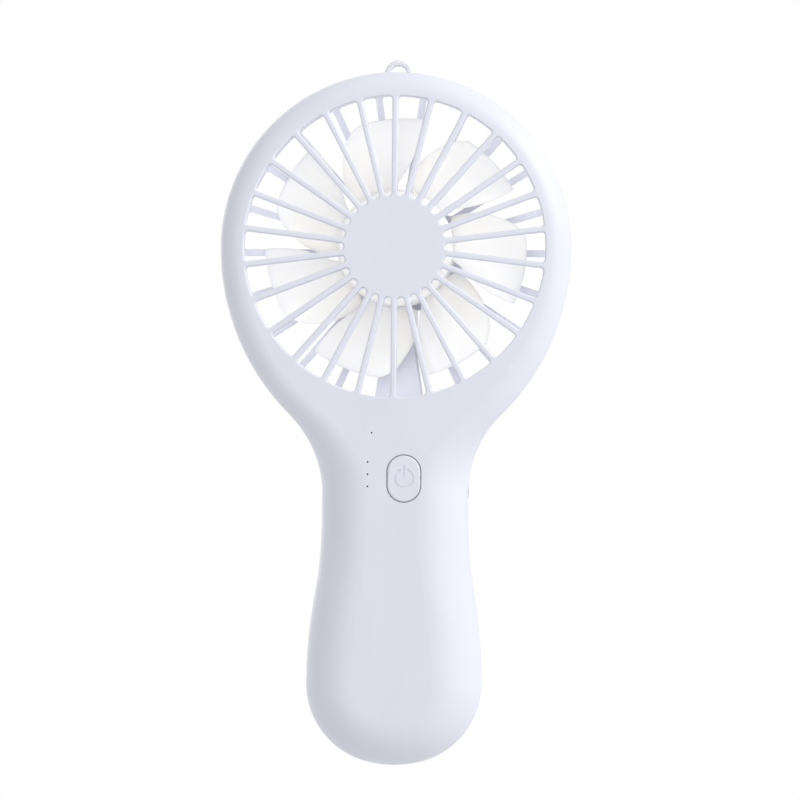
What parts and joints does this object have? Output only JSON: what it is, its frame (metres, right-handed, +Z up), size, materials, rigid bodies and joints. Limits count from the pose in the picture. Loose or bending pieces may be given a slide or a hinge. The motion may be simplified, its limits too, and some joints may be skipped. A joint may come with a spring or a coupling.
{
  "type": "handheld fan",
  "caption": "Pocket electric fan with a round caged head, a direct-drive bladed impeller, and a waisted grip holding the cell, power button, status lights and charging socket.",
  "frame": {"origin": "middle of the hand grip, on the plane where the front and rear shells part", "axes": "+Z up towards the head, -Y the side the front grille faces, +X to the right of someone looking at the front"},
  "size_m": [0.0986, 0.0341, 0.2002],
  "materials": {
    "shell_white": "satin moulded, cool white",
    "blade_cream": "satin, slightly translucent warm white",
    "loop_clear": "smooth, slightly translucent",
    "screw_steel": "nickel plated",
    "can_steel": "zinc plated, drawn",
    "end_cap_nylon": "moulded",
    "bush_bronze": "sintered",
    "shaft_steel": "ground",
    "magnet_ferrite": "sintered ferrite",
    "brush_carbon": "pressed carbon",
    "terminal_brass": "stamped",
    "core_steel": "stacked laminations",
    "coil_copper": "enamelled copper wire",
    "commutator_copper": "turned copper",
    "switch_black": "moulded",
    "plunger_white": "moulded",
    "board_green": "solder mask over glass cloth",
    "component_black": "moulded packages",
    "led_lens": "clear lens",
    "socket_nickel": "nickel plated",
    "tongue_black": "moulded",
    "cell_wrap": "shrink sleeve, satin",
    "cell_nickel": "nickel plated",
    "foam_grey": "closed-cell foam",
    "wire_red": "smooth insulation",
    "wire_black": "smooth insulation"
  },
  "bodies": {
    "casing": {"front_shell": "shell_white", "rear_shell": "shell_white", "wire_cover": "shell_white", "lanyard_loop": "loop_clear", "case_screws": "screw_steel", "motor_can": "can_steel", "motor_end_cap": "end_cap_nylon", "front_bush": "bush_bronze", "rear_bush": "bush_bronze", "motor_magnets": "magnet_ferrite", "motor_brushes": "brush_carbon", "motor_terminals": "terminal_brass", "switch_body": "switch_black", "main_board": "board_green", "board_parts": "component_black", "status_leds": "led_lens", "board_screws": "screw_steel", "charge_board": "board_green", "charge_socket": "socket_nickel", "charge_tongue": "tongue_black", "board_link": "terminal_brass", "battery_cell": "cell_wrap", "battery_terminal": "cell_nickel", "battery_tabs": "cell_nickel", "battery_foam": "foam_grey", "motor_wire_red": "wire_red", "motor_wire_black": "wire_black", "battery_wire_red": "wire_red", "battery_wire_black": "wire_black"},
    "rotor": {"impeller": "blade_cream", "motor_shaft": "shaft_steel", "rotor_core": "core_steel", "rotor_coils": "coil_copper", "commutator": "commutator_copper"},
    "button": {"power_button": "shell_white", "switch_plunger": "plunger_white"}
  },
  "joints": [
    {"name": "impeller_spin", "type": "hinge", "parent": "casing", "child": "rotor", "pos_m": [0, 0, 0.1], "axis": [0, 1, 0], "continuous": true},
    {"name": "button_press", "type": "slide", "parent": "casing", "child": "button", "axis": [0, 1, 0], "range_m": [0, 0.0004], "stiffness_N_per_m": 3000}
  ]
}
